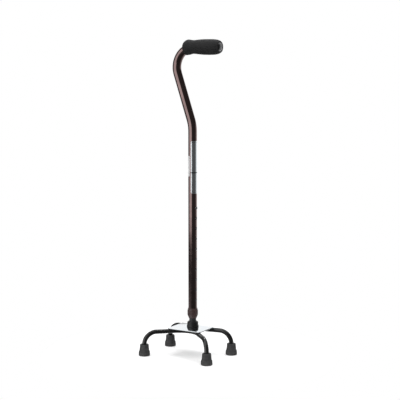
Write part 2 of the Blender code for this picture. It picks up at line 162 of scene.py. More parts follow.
class Surface(Nodes):
    """A material with the Principled shader, whose further sockets are named with underscores for spaces."""

    def __init__(self, name, colour, roughness, metallic=0.0, **sockets):
        self.material = bpy.data.materials.new(name)
        self.material.use_nodes = True
        super().__init__(self.material.node_tree)
        self.shader = self.tree.nodes["Principled BSDF"]
        self.material.diffuse_color = (*colour, 1.0)
        self.put("Base Color", (*colour, 1.0))
        self.put("Roughness", roughness)
        self.put("Metallic", metallic)
        for socket, value in sockets.items():
            self.put(socket.replace("_", " "), value)
        self.place = self.add("ShaderNodeTexCoord").outputs["Object"]

    def put(self, socket, value):
        """Gives one of the shader's sockets its value."""
        self.feed(self.shader.inputs[socket], value)

    def noise(self, scale, detail=3.0, stretch=None, distortion=0.0):
        """A noise value. The scale is in cells a metre, and stretch lengthens the cells along each axis."""
        place = self.place
        if stretch:
            shrunk = [1.0 / side for side in stretch]
            place = self.add("ShaderNodeMapping", {"Vector": place, "Scale": shrunk}).outputs["Vector"]
        inputs = {"Vector": place, "Scale": scale, "Detail": detail, "Distortion": distortion}
        return self.add("ShaderNodeTexNoise", inputs).outputs["Fac"]

    def cells(self, scale):
        """The distance from the middle of the nearest cell. The scale is in cells a metre."""
        return self.add("ShaderNodeTexVoronoi", {"Vector": self.place, "Scale": scale}).outputs["Distance"]

    def height(self):
        """The place's height in metres."""
        return self.add("ShaderNodeSeparateXYZ", {"Vector": self.place}).outputs["Z"]

    def tone(self, value, low, high, first, second, most=1.0):
        """A colour that goes from the first to the second, or part of the way, as the value goes from low to
        high."""
        return self.mix(self.remap(value, low, high, 0.0, most), first, second)

    def from_end(self, height, low, high):
        """How far the height is from the nearer of two others."""
        return self.math("MINIMUM", self.math("SUBTRACT", height, low), self.math("SUBTRACT", high, height))

    def stripe(self, value, middle, half_width, edge, strength):
        """As much as strength where the value is within half_width of the middle, and 0 past edge."""
        away = self.math("ABSOLUTE", self.math("SUBTRACT", value, middle))
        return self.remap(away, half_width, edge, strength, 0.0)

    def bump(self, value, depth, strength):
        """Adds a bump of this depth in metres on top of the bumps so far."""
        inputs = {"Height": value, "Distance": depth, "Strength": strength}
        socket = self.shader.inputs["Normal"]
        if socket.is_linked:
            inputs["Normal"] = socket.links[0].from_socket
        self.put("Normal", self.add("ShaderNodeBump", inputs).outputs["Normal"])


# ---------------------------------------------------------------- materials

def bronze_paint():
    """Dark bronze metallic lacquer, with fine flake and a faint orange peel."""
    made = Surface("bronze_paint", (0.22, 0.155, 0.15), 0.09, 1.0)
    flake = made.cells(3500.0)
    patches = made.noise(55.0, 4.0)
    tone = made.tone(patches, 0.35, 0.65, (0.2, 0.14, 0.136), (0.235, 0.166, 0.16))
    sparkle = made.remap(flake, 0.0, 0.6, 0.2, 0.0)
    made.put("Base Color", made.mix(sparkle, tone, (0.3, 0.22, 0.21)))
    made.put("Roughness", made.remap(made.noise(140.0, 5.0), 0.3, 0.7, 0.06, 0.09))
    made.bump(made.noise(900.0, 2.0), 0.02 * MM, 0.35)
    return made.material


def foam():
    """Matte black closed-cell foam: a skin of fine pores, darkened in their middles as painted shade, with
    softer patches.
    """
    made = Surface("grip_foam", (0.025, 0.025, 0.0255), 0.85, Specular_IOR_Level=0.25)
    patches = made.noise(90.0, 5.0)
    tone = made.tone(patches, 0.3, 0.7, (0.019, 0.019, 0.0195), (0.031, 0.031, 0.032))
    pores = made.cells(1500.0)
    # Painted shade: the colour darkens towards each pore's middle, where the bump sinks the skin.
    made.put("Base Color", made.mix(made.remap(pores, 0.0, 0.35, 0.5, 0.0), tone, (0.009, 0.009, 0.009)))
    made.put("Roughness", made.remap(patches, 0.3, 0.7, 0.68, 0.86))
    made.bump(pores, 0.25 * MM, 0.5)
    made.bump(made.noise(320.0, 4.0), 0.4 * MM, 0.35)
    return made.material


def black_enamel():
    """Gloss black enamel on the legs, slightly uneven and dulled in patches."""
    made = Surface("leg_enamel", (0.009, 0.009, 0.0092), 0.12, Coat_Weight=0.3, Coat_Roughness=0.04)
    dull = made.noise(70.0, 5.0)
    made.put("Base Color", made.tone(dull, 0.4, 0.75, (0.007, 0.007, 0.007), (0.012, 0.012, 0.012)))
    made.put("Roughness", made.remap(dull, 0.35, 0.75, 0.07, 0.18))
    made.bump(made.noise(420.0, 3.0), 0.04 * MM, 0.4)
    return made.material


def chrome():
    """Bright chrome with a faint blue cast, light smears and hairlines."""
    made = Surface("chrome", (0.86, 0.89, 0.92), 0.06, 1.0)
    smear = made.noise(45.0, 5.0)
    made.put("Base Color", made.tone(smear, 0.35, 0.7, (0.84, 0.88, 0.915), (0.9, 0.92, 0.94)))
    made.put("Roughness", made.remap(smear, 0.3, 0.75, 0.035, 0.12))
    made.bump(made.noise(260.0, 3.0, stretch=(12.0, 1.0, 1.0)), 0.01 * MM, 0.3)
    return made.material


def rubber():
    """Dark grey moulded rubber, dusty towards the floor."""
    made = Surface("foot_rubber", (0.038, 0.038, 0.039), 0.66)
    patches = made.noise(160.0, 6.0)
    tone = made.tone(patches, 0.3, 0.7, (0.028, 0.028, 0.029), (0.048, 0.048, 0.05))
    dust = made.math("MULTIPLY", made.remap(made.height(), 1.0 * MM, 12.0 * MM, 0.2, 0.0), patches)
    made.put("Base Color", made.mix(dust, tone, (0.17, 0.165, 0.155)))
    made.put("Roughness", made.remap(patches, 0.3, 0.7, 0.58, 0.78))
    made.bump(made.noise(1100.0, 3.0), 0.1 * MM, 0.5)
    made.bump(made.cells(700.0), 0.08 * MM, 0.3)
    return made.material


def collar_plastic():
    """Bronze-brown moulded nylon with a satin grain."""
    made = Surface("collar_plastic", (0.056, 0.031, 0.03), 0.36, Coat_Weight=0.15, Coat_Roughness=0.2)
    swirl = made.noise(120.0, 5.0, distortion=0.6)
    made.put("Base Color", made.tone(swirl, 0.3, 0.7, (0.046, 0.025, 0.024), (0.068, 0.038, 0.037)))
    made.put("Roughness", made.remap(swirl, 0.3, 0.7, 0.3, 0.45))
    made.bump(made.noise(1300.0, 2.0), 0.04 * MM, 0.5)
    return made.material


def black_plastic(name="black_plastic", shine=0.38):
    """Satin black moulded plastic with a fine spark-eroded grain."""
    made = Surface(name, (0.012, 0.012, 0.0125), shine, Specular_IOR_Level=0.35)
    patches = made.noise(150.0, 5.0)
    made.put("Base Color", made.mix(patches, (0.008, 0.008, 0.0085), (0.017, 0.017, 0.0175)))
    made.put("Roughness", made.remap(patches, 0.3, 0.7, shine - 0.06, shine + 0.08))
    made.bump(made.noise(1500.0, 2.0), 0.04 * MM, 0.5)
    return made.material


def stem_paint():
    """Dark grey satin finish on the sliding stem, with fine length-wise rub marks."""
    made = Surface("stem_paint", (0.045, 0.046, 0.048), 0.33, 0.4, Coat_Weight=0.1, Coat_Roughness=0.15)
    rubs = made.noise(1200.0, 4.0, stretch=(1.0, 1.0, 60.0))
    made.put("Base Color", made.tone(rubs, 0.45, 0.7, (0.036, 0.037, 0.039), (0.085, 0.085, 0.086), most=0.6))
    made.put("Roughness", made.remap(rubs, 0.35, 0.7, 0.27, 0.42))
    made.bump(rubs, 0.02 * MM, 0.4)
    return made.material


def foil(low, high, divider):
    """Bright silver foil, brushed along the tube, with a dark line across it at the divider's height and a
    thin line near each end."""
    made = Surface("label_foil", (0.86, 0.92, 0.95), 0.22, 1.0)
    grain = made.noise(1500.0, 3.0, stretch=(1.0, 1.0, 45.0))
    tone = made.tone(grain, 0.35, 0.65, (0.82, 0.88, 0.92), (0.92, 0.95, 0.97))
    height = made.height()
    line = made.stripe(height, divider, 1.0 * MM, 1.3 * MM, 1.0)
    border = made.stripe(made.from_end(height, low, high), 3.5 * MM, 0.3 * MM, 0.5 * MM, 0.7)
    ink = made.math("MAXIMUM", line, border)
    made.put("Base Color", made.mix(ink, tone, (0.05, 0.06, 0.07)))
    made.put("Roughness", made.remap(grain, 0.3, 0.7, 0.17, 0.26))
    made.bump(grain, 0.01 * MM, 0.12)
    return made.material


def paper(low, high):
    """White film with a soft grain and a pale grey line near each end."""
    made = Surface("label_paper", (0.92, 0.925, 0.93), 0.45)
    grain = made.noise(800.0, 4.0)
    tone = made.tone(grain, 0.3, 0.7, (0.9, 0.905, 0.91), (0.94, 0.945, 0.95))
    border = made.stripe(made.from_end(made.height(), low, high), 3.0 * MM, 0.3 * MM, 0.5 * MM, 0.8)
    made.put("Base Color", made.mix(border, tone, (0.5, 0.51, 0.53)))
    made.put("Roughness", made.remap(grain, 0.3, 0.7, 0.38, 0.52))
    made.bump(grain, 0.01 * MM, 0.2)
    return made.material


def bare_metal(name, colour, roughness, stretch=(1.0, 1.0, 1.0), metallic=1.0):
    """Plain metal: zinc plate, cut aluminium, steel or spring strip, with its grain drawn out by stretch."""
    made = Surface(name, colour, roughness, metallic)
    grain = made.noise(1400.0, 4.0, stretch=stretch)
    darker = tuple(0.86 * part for part in colour)
    made.put("Base Color", made.tone(grain, 0.3, 0.7, darker, colour))
    made.put("Roughness", made.remap(grain, 0.3, 0.7, roughness - 0.05, roughness + 0.09))
    made.bump(grain, 0.01 * MM, 0.4)
    return made.material


def nylon():
    """Off-white moulded nylon, which lets a little light in."""
    made = Surface("nylon", (0.66, 0.65, 0.61), 0.45, Subsurface_Weight=0.15, Subsurface_Scale=2.0 * MM)
    patches = made.noise(200.0, 4.0)
    made.put("Base Color", made.mix(patches, (0.6, 0.59, 0.55), (0.72, 0.71, 0.67)))
    made.bump(made.noise(1200.0, 2.0), 0.03 * MM, 0.5)
    return made.material


# ---------------------------------------------------------------- mesh helpers

# The angle in degrees between two faces from which their edge is drawn sharp, and from which it is bevelled
SHARP_ANGLE = 35.0
BEVEL_ANGLE = 40.0


def circle(centre, across, up, radius, sides):
    """The points of a circle in the plane of two directions."""
    points = []
    for step in range(sides):
        angle = 2 * math.pi * step / sides
        points.append(centre + radius * (math.cos(angle) * across + math.sin(angle) * up))
    return points


def skin(name, rings, finish, closed=False, sharp=SHARP_ANGLE):
    """A smooth object over rings of points. A closed skin joins its last ring to its first, and an open one
    is capped."""
    mesh = bmesh.new()
    loops = [[mesh.verts.new(point) for point in points] for points in rings]
    pairs = list(zip(loops, loops[1:]))
    if closed:
        pairs.append((loops[-1], loops[0]))
    for low, high in pairs:
        for index in range(len(low)):
            after = (index + 1) % len(low)
            mesh.faces.new((low[index], low[after], high[after], high[index]))
    if not closed:
        mesh.faces.new(loops[0])
        mesh.faces.new(loops[-1])
    bmesh.ops.recalc_face_normals(mesh, faces=mesh.faces)
    return as_object(name, mesh, finish, sharp)


def as_object(name, mesh, finish, sharp=SHARP_ANGLE):
    """An object in the scene from a bmesh, shaded smooth but for its sharp edges."""
    data = bpy.data.meshes.new(name)
    mesh.to_mesh(data)
    mesh.free()
    data.materials.append(finish)
    data.shade_smooth()
    data.set_sharp_from_angle(angle=math.radians(sharp))
    made = bpy.data.objects.new(name, data)
    bpy.context.scene.collection.objects.link(made)
    return made


def arc(centre, radius, start, end, steps):
    """(x, y) points along an arc between two angles in degrees."""
    points = []
    for step in range(steps + 1):
        angle = math.radians(start + (end - start) * step / steps)
        points.append((centre[0] + radius * math.cos(angle), centre[1] + radius * math.sin(angle)))
    return points


def rounded(corners, radius, steps=4):
    """A closed outline of (x, y) corners with each one rounded off, and less so where its sides are short."""
    longest_share = 0.45
    points = []
    count = len(corners)
    for index, corner in enumerate(corners):
        here = Vector(corner)
        before = Vector(corners[index - 1]) - here
        after = Vector(corners[(index + 1) % count]) - here
        reach = min(radius, before.length * longest_share, after.length * longest_share)
        start = here + before.normalized() * reach
        end = here + after.normalized() * reach
        for step in range(steps + 1):
            share = step / steps
            points.append(tuple(start.lerp(here, share).lerp(here.lerp(end, share), share)))
    return points


def turned(name, profile, finish, closed=True, sides=96, axis_at=SHAFT, along=Z, sharp=SHARP_ANGLE):
    """A round piece about the axis through axis_at. The profile is a list of (radius, distance along)."""
    across = Y if along.x else X
    up = along.cross(across)
    rings = [circle(axis_at + along * reach, across, up, radius, sides) for radius, reach in profile]
    return skin(name, rings, finish, closed, sharp)


def rounded_path(corners, bends, length_a_step):
    """The corners joined by straight runs, each inner corner rounded to the radius in bends."""
    path = [corners[0]]
    for before, corner, after, bend in zip(corners, corners[1:], corners[2:], bends):
        arriving = (corner - before).normalized()
        leaving = (after - corner).normalized()
        turn = arriving.angle(leaving)
        start = corner - arriving * bend * math.tan(turn / 2)
        inward = (leaving - arriving * arriving.dot(leaving)).normalized()
        steps = math.ceil(turn * bend / length_a_step)
        for step in range(steps + 1):
            angle = turn * step / steps
            path.append(start + bend * (arriving * math.sin(angle) + inward * (1 - math.cos(angle))))
    path.append(corners[-1])
    return path


def frames(path):
    """For each point of a path, the two directions across it, which turn as little as they can."""
    tangents = []
    for index in range(len(path)):
        before = path[max(index - 1, 0)]
        after = path[min(index + 1, len(path) - 1)]
        tangents.append((after - before).normalized())
    across = tangents[0].orthogonal().normalized()
    found = []
    for tangent in tangents:
        across = (across - tangent * across.dot(tangent)).normalized()
        found.append((across, tangent.cross(across)))
    return found


def hollow_tube(name, path, radius, wall, finish, sides, inside):
    """An open tube along a path, with its two rims slightly rounded, and with its bore in another finish."""
    lip = 0.25 * wall
    sections = list(zip(path, frames(path)))

    def surface(reach, change):
        """The rings of one side of the wall, with a chamfer at each rim that changes the radius."""
        rings = [circle(point, *cross, reach, sides) for point, cross in sections]
        start, start_cross = sections[0]
        end, end_cross = sections[-1]
        from_start = (path[1] - path[0]).normalized() * lip
        from_end = (path[-2] - path[-1]).normalized() * lip
        rings[0] = circle(start, *start_cross, reach + change, sides)
        rings[-1] = circle(end, *end_cross, reach + change, sides)
        rings.insert(1, circle(start + from_start, *start_cross, reach, sides))
        rings.insert(-1, circle(end + from_end, *end_cross, reach, sides))
        return rings

    outer = surface(radius, -lip)
    inner = surface(radius - wall, lip)
    made = skin(name, outer + inner[::-1], finish, closed=True)
    made.data.materials.append(inside)
    for polygon in made.data.polygons[(len(outer) - 1) * sides:]:
        polygon.material_index = 1
    return made


def smooth_curve(points, steps):
    """A curve through (x, y) points, steps to each span, with Catmull-Rom tangents."""
    out = []
    for index in range(len(points) - 1):
        ends = [Vector(points[min(max(index + move, 0), len(points) - 1)]) for move in (-1, 0, 1, 2)]
        for step in range(steps):
            t = step / steps
            pull_in = (ends[2] - ends[0]) / 2
            pull_out = (ends[3] - ends[1]) / 2
            at = (2 * t**3 - 3 * t**2 + 1) * ends[1] + (t**3 - 2 * t**2 + t) * pull_in
            at += (3 * t**2 - 2 * t**3) * ends[2] + (t**3 - t**2) * pull_out
            out.append(tuple(at))
    out.append(points[-1])
    return out


def cut(target, cutter):
    """Cuts the cutter's shape out of the target, with the new walls in the cutter's material, for good."""
    boolean = target.modifiers.new("cut", "BOOLEAN")
    boolean.operation = "DIFFERENCE"
    boolean.object = cutter
    boolean.material_mode = "TRANSFER"
    bake(target)
    target.data.set_sharp_from_angle(angle=math.radians(SHARP_ANGLE))
    bpy.data.objects.remove(cutter)


def bevel(target, width, segments):
    """A modifier that rounds the target's hard edges."""
    rounding = target.modifiers.new("soft_edges", "BEVEL")
    rounding.width = width
    rounding.segments = segments
    rounding.limit_method = "ANGLE"
    rounding.angle_limit = math.radians(BEVEL_ANGLE)


def soften(target, width):
    """Rounds the target's hard edges, for good."""
    bevel(target, width, 2)
    bake(target)


def bake(target):
    """Turns the target's modifiers into its mesh."""
    bpy.context.view_layer.update()
    graph = bpy.context.evaluated_depsgraph_get()
    data = bpy.data.meshes.new_from_object(target.evaluated_get(graph))
    target.modifiers.clear()
    target.data = data


def merge(name, pieces):
    """One mesh of several separate solids."""
    mesh = bmesh.new()
    for piece in pieces:
        mesh.from_mesh(piece.data)
    finish = pieces[0].data.materials[0]
    for piece in pieces:
        bpy.data.objects.remove(piece)
    return as_object(name, mesh, finish)


def bar(name, start, end, radius, finish, sides=40):
    """A round solid bar between two points."""
    along = (end - start).normalized()
    across = along.orthogonal().normalized()
    rings = [circle(point, across, along.cross(across), radius, sides) for point in (start, end)]
    return skin(name, rings, finish)


def stands_for(piece, body, slot, *nodes):
    """The piece moves with the body and takes the place of the nodes. The slot is not used."""
    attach(piece, body)
    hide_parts(*nodes)


def ribbed(name, profile, finish, ribs, depth, low, high, wall_from, axis_at=SHAFT, steps_a_rib=8):
    """A turned piece with grooves down its outside between the heights low and high. Points of the profile
    nearer the axis than wall_from stay round."""
    fade = 0.7 * MM
    sides = ribs * steps_a_rib
    rings = []
    for radius, height in profile:
        inside = min(height - low, high - height) / fade
        share = min(max(inside, 0.0), 1.0) if radius > wall_from else 0.0
        points = []
        for step in range(sides):
            angle = 2 * math.pi * step / sides
            groove = (0.5 - 0.5 * math.cos(ribs * angle)) ** 3
            reach = radius - depth * share * groove
            points.append(axis_at + Vector((reach * math.cos(angle), reach * math.sin(angle), height)))
        rings.append(points)
    return skin(name, rings, finish, closed=True, sharp=50.0)


def fine(profile, length):
    """The closed profile with its long sides split into steps no longer than length."""
    points = []
    for index, point in enumerate(profile):
        here = Vector(point)
        after = Vector(profile[(index + 1) % len(profile)])
        steps = max(1, math.ceil((after - here).length / length))
        points += [tuple(here.lerp(after, step / steps)) for step in range(steps)]
    return points


# ---------------------------------------------------------------- handle

def upper_tube(paint, bare):
    """The offset tube with its height holes, their edges just broken, and bare metal inside."""
    rise = GRIP_HEIGHT - LEAN_START
    corners = [
        SHAFT + Z * TUBE_BOTTOM,
        SHAFT + Z * LEAN_START,
        SHAFT + Z * GRIP_HEIGHT - X * rise * math.tan(LEAN_ANGLE),
        SHAFT + Z * GRIP_HEIGHT + X * TUBE_END,
    ]
    path = rounded_path(corners, (LEAN_BEND, GRIP_BEND), length_a_step=1.5 * MM)
    made = hollow_tube("cane_tube", path, TUBE_RADIUS, TUBE_WALL, paint, sides=96, inside=bare)
    bars = []
    reach = X * 2 * TUBE_RADIUS
    for number in range(HOLE_COUNT):
        centre = SHAFT + Z * (BUTTON.z - number * HOLE_PITCH)
        bars.append(bar(f"hole_bar_{number}", centre - reach, centre + reach, HOLE_RADIUS - 0.1 * MM, bare))
    cut(made, merge("hole_bars", bars))
    soften(made, width=0.22 * MM)
    stands_for(made, "handle", "bronze_tube", "upper_tube")


# The grip's outline, as pairs of the place along X and the radius, in millimetres
GRIP_OUTLINE = [
    (-20.4, 14.3), (-20.0, 15.4), (-18.5, 16.6), (-15.4, 17.8), (-11.4, 18.6), (-7.2, 18.3),
    (-3.0, 17.4), (2.0, 16.75), (8.0, 16.85), (17.0, 17.75), (30.0, 18.65), (44.0, 18.9),
    (57.0, 18.75), (64.0, 18.35), (69.0, 17.55), (73.0, 16.4), (76.0, 15.0), (77.4, 14.0), (78.0, 12.9),
]


def hand_grip(finish):
    """The foam grip: smooth and slightly uneven outside, as foam is, over a bore that follows the bend."""
    sides = 128
    bore = TUBE_RADIUS + 0.6 * MM
    dent = 0.3 * MM
    # Where the tube's bend ends along X, and how much of the bend's lean and fall the grip's outside takes
    bend_x = (GRIP_HEIGHT - LEAN_START) * -math.tan(LEAN_ANGLE)
    bend_x += GRIP_BEND * math.tan((math.pi / 2 + LEAN_ANGLE) / 2)
    lean_share = 0.35
    fall_share = 0.75

    def station(x):
        """How far the tube's centre line lies under the grip's height at x, its slope there, and the grip's
        upward direction, which leans a little with it."""
        slope = math.asin(max(0.0, bend_x - x) / GRIP_BEND)
        lean = lean_share * slope
        return GRIP_BEND * (1 - math.cos(slope)), slope, Vector((-math.sin(lean), 0, math.cos(lean)))

    grip_start = GRIP_OUTLINE[0][0] * MM
    grip_end = GRIP_OUTLINE[-1][0] * MM
    most_fall = station(grip_start)[0]
    rings = []
    for x_mm, radius_mm in smooth_curve(GRIP_OUTLINE, steps=6):
        x = x_mm * MM
        fall, _, up = station(x)
        centre = SHAFT + X * x + Z * (GRIP_HEIGHT - fall_share * fall**2 / most_fall)
        points = []
        for point in circle(centre, Y, up, radius_mm * MM, sides):
            lumps = noise.noise(point * 55.0)
            grain = noise.noise(point * 160.0)
            unevenness = 0.5 + 0.5 * lumps + 0.25 * grain
            points.append(point - (point - centre).normalized() * dent * max(0.0, unevenness))
        rings.append(points)
    steps = 16
    for x in [grip_end] + [grip_start * step / steps for step in range(steps + 1)]:
        fall, slope, up = station(x)
        centre = SHAFT + X * x + Z * (GRIP_HEIGHT - fall)
        rings.append(circle(centre, Y, up / math.cos((1 - lean_share) * slope), bore, sides))
    made = skin("foam_grip", rings, finish, closed=True, sharp=60.0)
    stands_for(made, "handle", "grip_foam", "hand_grip")


def end_plug(finish):
    """The plug in the tube's end, dished, with the mark where it was moulded."""
    low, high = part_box("grip_end_plug")
    radius = (high.y - low.y) / 2
    face = high.x
    edge = 0.6 * MM
    profile = [(radius - 1.0 * MM, low.x), (radius, low.x + 1.5 * MM)]
    profile += arc((radius - edge, face - edge), edge, 0, 90, 5)
    for inset, depth in ((2.3, 0.0), (2.7, 0.15), (3.4, 1.0), (4.0, 1.2)):
        profile.append((radius - inset * MM, face - depth * MM))
    for mark_radius, depth in ((1.5, 1.3), (1.3, 1.0), (0.9, 0.9)):
        profile.append((mark_radius * MM, face - depth * MM))
    axis_at = SHAFT + Z * GRIP_HEIGHT
    made = turned("tube_end_plug", profile, finish, closed=False, sides=64, axis_at=axis_at, along=X)
    stands_for(made, "handle", "black_plastic", "grip_end_plug")


def label(name, node, centre, half_angle, corner, finish, slot):
    """A sticker wrapped round the tube, with rounded corners. Its centre and its half angle are in degrees
    round the tube."""
    low = low_z(node)
    high = high_z(node)
    steps = 72
    half_width = math.radians(half_angle) * LABEL_OUTSIDE
    rings = []
    for step in range(steps + 1):
        share = step / steps
        across = half_width * -math.cos(math.pi * share)
        angle = math.radians(centre) + across / LABEL_OUTSIDE
        near_edge = max(0.0, corner - (half_width - abs(across)))
        short = corner - math.sqrt(max(0.0, corner**2 - near_edge**2))
        out = Vector((math.cos(angle), math.sin(angle), 0))
        bottom = low + short
        top = high - short
        section = [(LABEL_INSIDE, bottom), (LABEL_OUTSIDE, bottom), (LABEL_OUTSIDE, top), (LABEL_INSIDE, top)]
        rings.append([SHAFT + out * radius + Z * height for radius, height in section])
    stands_for(skin(name, rings, finish), "handle", slot, node)


def collet(finish):
    """The insert in the tube's lower end, with its flange and the slit shank that the collar screws on."""
    bore = STEM_RADIUS + STEM_CLEARANCE
    low = low_z("collet_insert")
    high = high_z("collet_insert")
    flange_top = high - 13.0 * MM
    flange_bottom = flange_top - 3.5 * MM
    shank = 10.4 * MM
    flange = 11.75 * MM
    sleeve = 9.25 * MM
    corners = [
        (bore, low), (10.0 * MM, low), (shank, low + 1.0 * MM), (shank, flange_bottom),
        (flange, flange_bottom), (flange, flange_top), (sleeve, flange_top), (sleeve, high), (bore, high),
    ]
    made = turned("collet_sleeve", rounded(corners, radius=0.5 * MM), finish)
    slit_half_width = 0.7 * MM
    slit_bottom = low - 5.0 * MM
    slit_top = low + 8.0 * MM
    corners = [(-1, -1), (1, -1), (1, 1), (-1, 1)]
    rings = []
    for height in (slit_bottom, slit_top):
        level = SHAFT + Z * height
        rings.append([level + X * x * 2 * TUBE_RADIUS + Y * y * slit_half_width for x, y in corners])
    cut(made, skin("collet_slit", rings, finish))
    stands_for(made, "handle", "collar_plastic", "collet_insert")


def collar(finish):
    """The locking nut, ribbed for the fingers, tapering towards the stem."""
    low = low_z("locking_collar")
    high = high_z("locking_collar")
    # Pairs of the radius and the height over the collar's bottom, in millimetres, up the outside and down
    # the inside
    outline = [
        (9.0, 0.0), (9.3, 0.0), (9.8, 0.8), (11.3, 4.2), (12.5, 7.4), (13.0, 8.8), (13.0, 19.6), (12.4, 21.2),
        (10.75, 21.2), (10.75, 8.0), (10.3, 4.6), (9.0, 4.6), (9.0, 3.9), (9.9, 3.9), (9.9, 1.4), (9.0, 1.4),
    ]
    corners = [(radius * MM, low + height * MM) for radius, height in outline]
    profile = fine(rounded(corners, radius=0.5 * MM, steps=5), length=0.6 * MM)
    made = ribbed("locking_nut", profile, finish, ribs=30, depth=0.35 * MM, low=low + 9.2 * MM,
                  high=high - 1.9 * MM, wall_from=12.4 * MM)
    stands_for(made, "collar", "collar_plastic", "locking_collar")


# ---------------------------------------------------------------- stem

def stem(finish, bare):
    """The sliding stem, with the button's hole near its top."""
    path = [SHAFT + Z * low_z("lower_tube"), SHAFT + Z * high_z("lower_tube")]
    made = hollow_tube("stem_tube", path, STEM_RADIUS, STEM_WALL, finish, sides=96, inside=bare)
    centre = SHAFT + Z * BUTTON.z
    cut(made, bar("button_hole", centre, centre + X * 2 * STEM_RADIUS, HOLE_RADIUS, bare))
    soften(made, width=0.2 * MM)
    stands_for(made, "base", "stem_grey", "lower_tube")


def button(finish):
    """The spring button: a shouldered pin with a polished dome."""
    low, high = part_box("snap_button")
    radius = 3.8 * MM
    shoulder = (high.y - low.y) / 2
    chamfer = 0.2 * MM
    profile = [(shoulder - chamfer, low.x), (shoulder, low.x + chamfer), (shoulder, low.x + 1.0 * MM),
               (radius, low.x + 1.1 * MM)]
    dome = high.x - TUBE_RADIUS
    for reach, rise in arc((0, 0), 1.0, 0, 84, 12):
        profile.append((radius * reach, TUBE_RADIUS + dome * rise))
    axis_at = SHAFT + Z * BUTTON.z
    made = turned("snap_pin", profile, finish, closed=False, sides=64, axis_at=axis_at, along=X, sharp=40.0)
    stands_for(made, "button", "zinc_steel", "snap_button")


def boot(finish):
    """The cone at the foot of the stem, with a lip at the bottom and a rolled rim at the top."""
    bore = STEM_RADIUS + STEM_CLEARANCE
    low = low_z("stem_boot")
    high = high_z("stem_boot")
    lip = 14.75 * MM
    corners = [
        (bore, low), (lip, low), (lip, low + 2.2 * MM), (14.4 * MM, low + 2.7 * MM),
        (13.2 * MM, high - 1.6 * MM), (12.3 * MM, high), (bore, high),
    ]
    profile = fine(rounded(corners, radius=0.7 * MM, steps=6), length=2.0 * MM)
    made = turned("stem_cone", profile, finish)
    stands_for(made, "base", "black_plastic", "stem_boot")


# ---------------------------------------------------------------- base

def plate(finish):
    """The flat steel plate over the legs, with rounded corners and edges."""
    low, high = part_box("base_plate")
    corner = 4.5 * MM
    edge = 0.7 * MM
    hole_radius = 3.3 * MM
    centres = [
        (high.x - corner, high.y - corner, 0), (low.x + corner, high.y - corner, 90),
        (low.x + corner, low.y + corner, 180), (high.x - corner, low.y + corner, 270),
    ]
    rings = []
    profile = arc((0, low.z + edge), edge, -90, 0, 5) + arc((0, high.z - edge), edge, 0, 90, 5)
    for out, height in profile:
        points = []
        for x, y, start in centres:
            for px, py in arc((x, y), corner - edge + out, start, start + 90, 12):
                points.append(Vector((px, py, height)))
        rings.append(points)
    made = skin("steel_plate", rings, finish, sharp=50.0)
    hole = [SHAFT + Z * (low.z - edge), SHAFT + Z * (high.z + edge)]
    cut(made, bar("bolt_hole", *hole, hole_radius, finish))
    stands_for(made, "base", "chrome", "base_plate")


def leg(name, node, side, apex_y, apex_bend, finish, bare):
    """One bent tube that makes the two legs on one side. Its two level runs aim at a point at apex_y, and
    meet in a bend of the radius apex_bend."""
    foot_y = side * FOOT.y
    corners = [
        Vector((-FOOT.x, foot_y, LEG_BOTTOM)), Vector((-FOOT.x, foot_y, LEG_HEIGHT)),
        Vector((0, apex_y, LEG_HEIGHT)),
        Vector((FOOT.x, foot_y, LEG_HEIGHT)), Vector((FOOT.x, foot_y, LEG_BOTTOM)),
    ]
    path = rounded_path(corners, (LEG_FOOT_BEND, apex_bend, LEG_FOOT_BEND), length_a_step=1.6 * MM)
    made = hollow_tube(name, path, LEG_RADIUS, LEG_WALL, finish, sides=48, inside=bare)
    stands_for(made, "base", "leg_enamel", node)


def foot(place, side_x, side_y, finish):
    """A moulded ferrule: a ribbed tread with rings in its sole, a step, and a tapering neck."""
    top = high_z("rubber_foot_rear_right")
    groove = 0.9 * MM
    socket_floor = 7.0 * MM
    hole = 0.8 * MM
    # The rings on the sole, from their radii in millimetres
    sole = []
    for radius in (3.6, 6.6, 9.4):
        sole += [((radius - 0.6) * MM, groove), (radius * MM, 0.0), ((radius + 1.5) * MM, 0.0),
                 ((radius + 1.9) * MM, groove)]
    bore = LEG_RADIUS + 0.6 * MM
    corners = [(hole, groove)] + sole + [
        (12.1 * MM, 0.0), (12.9 * MM, 0.0), (13.8 * MM, 0.7 * MM), (14.2 * MM, 2.3 * MM),
        (13.7 * MM, 10.6 * MM), (13.1 * MM, 12.0 * MM), (12.2 * MM, 12.6 * MM), (11.3 * MM, 20.5 * MM),
        (10.8 * MM, top - 0.8 * MM), (10.1 * MM, top), (bore, top), (bore, socket_floor),
        (hole, socket_floor),
    ]
    profile = fine(rounded(corners, radius=0.6 * MM), length=1.0 * MM)
    at = Vector((side_x * FOOT.x, side_y * FOOT.y, 0))
    made = ribbed(f"ferrule_{place}", profile, finish, ribs=36, depth=0.3 * MM, low=3.0 * MM, high=10.4 * MM,
                  wall_from=13.4 * MM, axis_at=at, steps_a_rib=6)
    stands_for(made, "base", "rubber", f"rubber_foot_{place}")


# ---------------------------------------------------------------- parts kept from the frame

def finish_node(node, finish, edge=0.0):
    """Gives a CAD node its material, and rounds its hard edges to the radius."""
    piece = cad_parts[node]
    piece.data.materials.clear()
    piece.data.materials.append(finish)
    if edge:
        bevel(piece, edge, 3)


# ---------------------------------------------------------------- studio

# The camera: its angle round the shaft, how far it looks down, its level distance from the shaft, how far it
# stands to the right, its height, and its focal length and sensor's width in millimetres
CAMERA_AZIMUTH = math.radians(31.2)
CAMERA_PITCH = math.radians(7.03)
CAMERA_DISTANCE = 3.013
CAMERA_ASIDE = 18.0 * MM
CAMERA_HEIGHT = 0.755
CAMERA_LENS = 111.5
CAMERA_SENSOR = 36.0

# Level directions from the shaft towards the camera, and to the camera's right
TO_CAMERA = Vector((math.sin(CAMERA_AZIMUTH), -math.cos(CAMERA_AZIMUTH), 0))
TO_RIGHT = Vector((math.cos(CAMERA_AZIMUTH), math.sin(CAMERA_AZIMUTH), 0))


